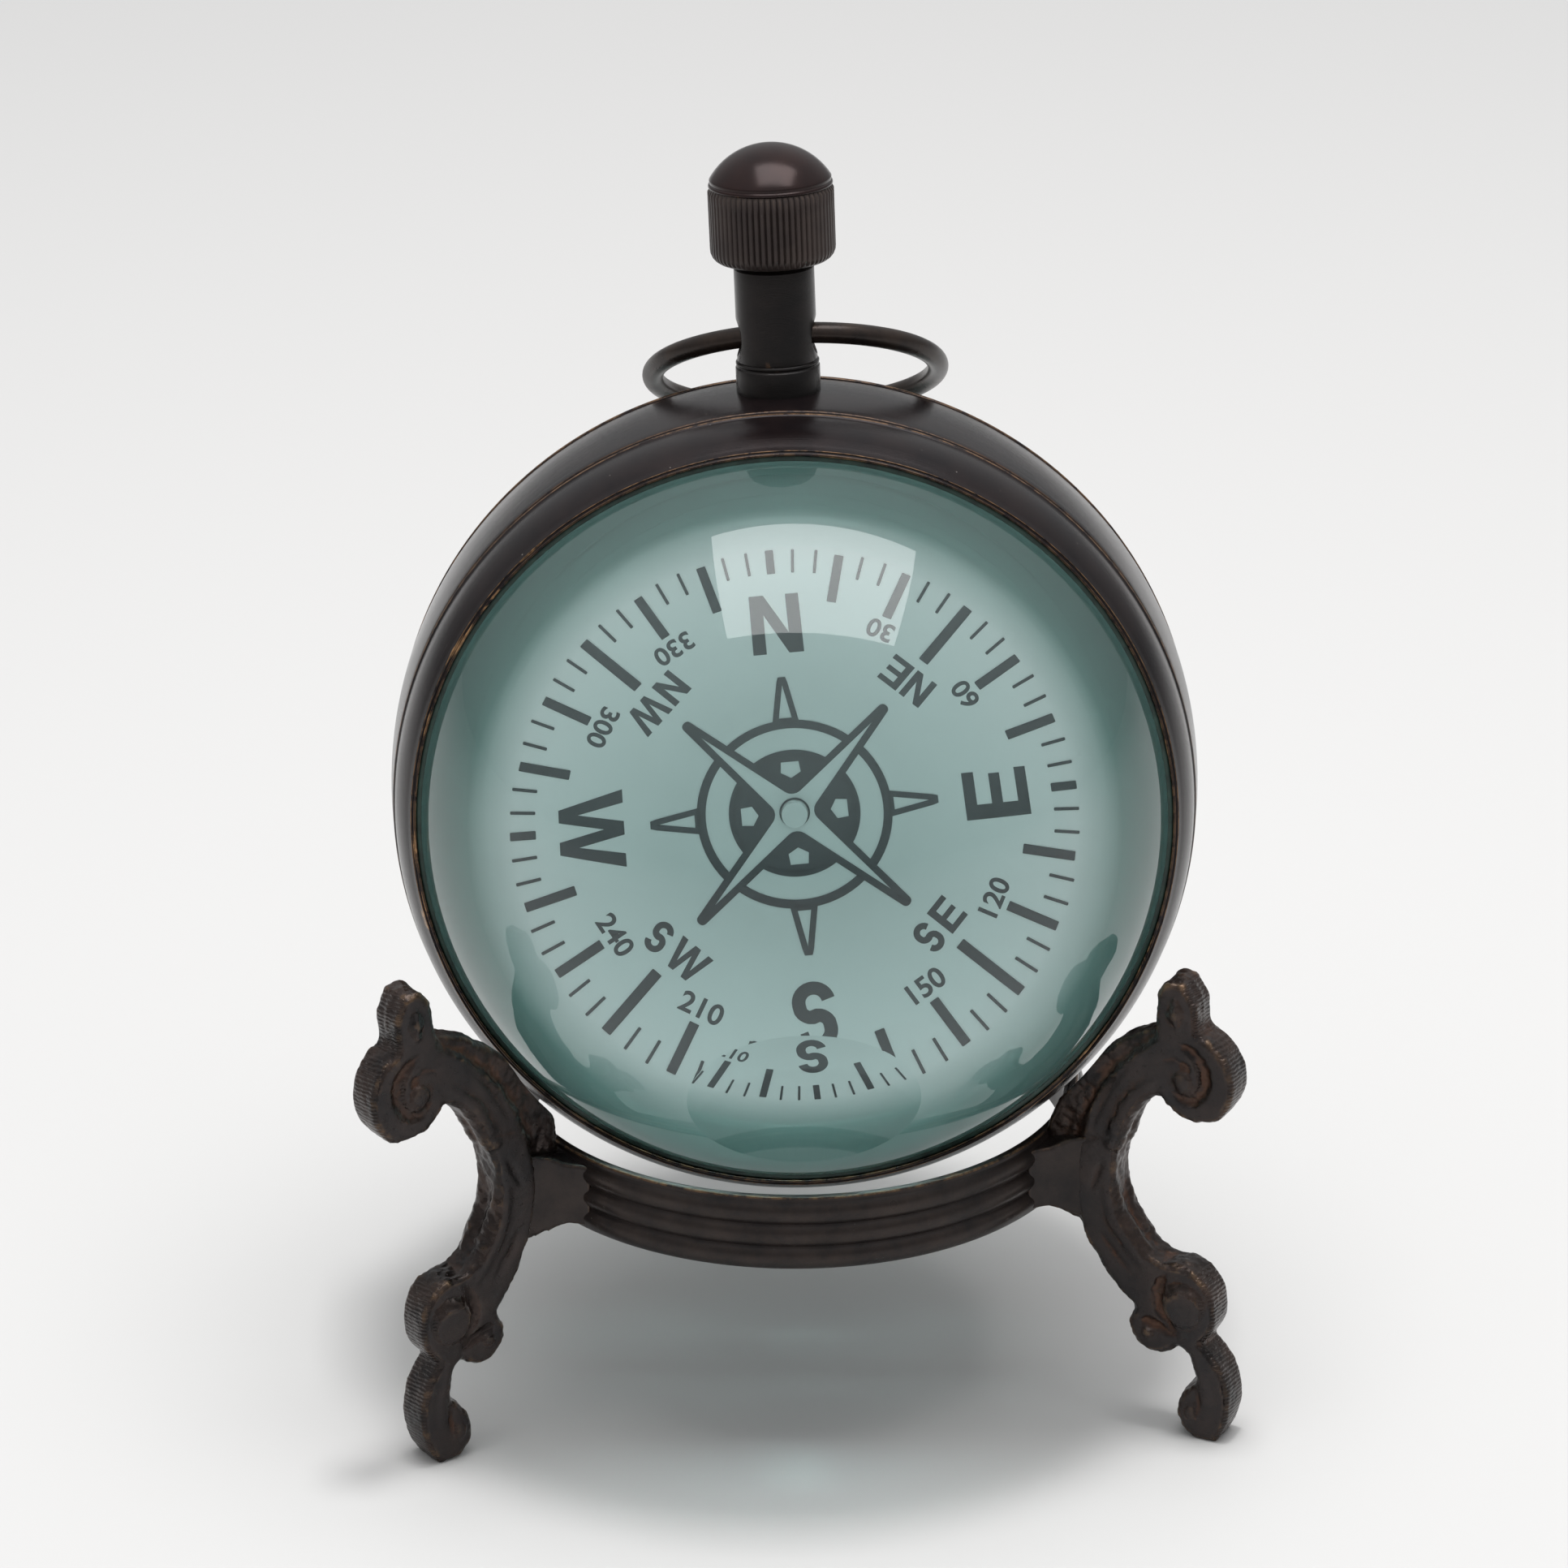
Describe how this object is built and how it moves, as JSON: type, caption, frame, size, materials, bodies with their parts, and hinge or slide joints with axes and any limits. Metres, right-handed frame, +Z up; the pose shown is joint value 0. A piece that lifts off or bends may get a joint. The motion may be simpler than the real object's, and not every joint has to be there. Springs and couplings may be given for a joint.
{
  "type": "desk compass",
  "caption": "Desk compass in a glass ball with a patinated brass case, pendant neck, crown and bow ring, resting in a beaded ring on three scroll legs.",
  "frame": {"origin": "on the table, under the middle of the whole object", "axes": "+Z up, -Y towards the front of the dial, +X to its right"},
  "size_m": [0.0874, 0.0876, 0.1241],
  "materials": {
    "stand_brass": "dark satin patina",
    "cast_brass": "rough cast, dark patina",
    "brazing": "dark patina",
    "case_brass": "dark satin patina",
    "lens_glass": "polished",
    "seal": "matte",
    "bowl_paint": "matte",
    "plain_brass": "turned",
    "steel": "ground",
    "crown_brass": "knurled, dark patina",
    "crown_polish": "polished, dark patina",
    "bow_wire": "drawn, dark patina",
    "card_paint": "satin",
    "ink": "matte",
    "jewel": "polished",
    "magnet_steel": "blued"
  },
  "bodies": {
    "stand": {"stand_ring": "stand_brass", "leg_front_right": "cast_brass", "leg_front_left": "cast_brass", "leg_rear": "cast_brass", "leg_brazing": "brazing"},
    "compass": {"case_band": "case_brass", "front_bezel": "case_brass", "rear_bezel": "case_brass", "front_lens": "lens_glass", "rear_lens": "lens_glass", "front_lens_seal": "seal", "rear_lens_seal": "seal", "card_bowl": "bowl_paint", "distance_ring": "plain_brass", "pivot_post": "plain_brass", "pivot_nut": "plain_brass", "pivot_pin": "steel", "pendant_ferrule": "case_brass", "pendant_neck": "case_brass", "crown_spindle": "plain_brass"},
    "card": {"compass_card": "card_paint", "card_print": "ink", "card_hub": "plain_brass", "hub_jewel": "jewel", "card_magnets": "magnet_steel"},
    "crown": {"crown": "crown_brass", "crown_cap": "crown_polish"},
    "bow": {"bow_ring": "bow_wire"}
  },
  "joints": [
    {"name": "compass_lift", "type": "slide", "parent": "stand", "child": "compass", "axis": [0, 0, 1], "range_m": [0, 0.05]},
    {"name": "card_spin", "type": "hinge", "parent": "compass", "child": "card", "pos_m": [-0.00087, -0.00566, 0.061], "axis": [0, -0.9914, 0.1305], "continuous": true},
    {"name": "crown_turn", "type": "hinge", "parent": "compass", "child": "crown", "pos_m": [-0.00303, 0.00478, 0.11506], "axis": [-0.0393, 0.1304, 0.9907], "continuous": true},
    {"name": "bow_swing", "type": "hinge", "parent": "compass", "child": "bow", "pos_m": [-0.00264, 0.00348, 0.1052], "axis": [0.9992, 0.0051, 0.0389], "range_deg": [-5, 234]}
  ]
}
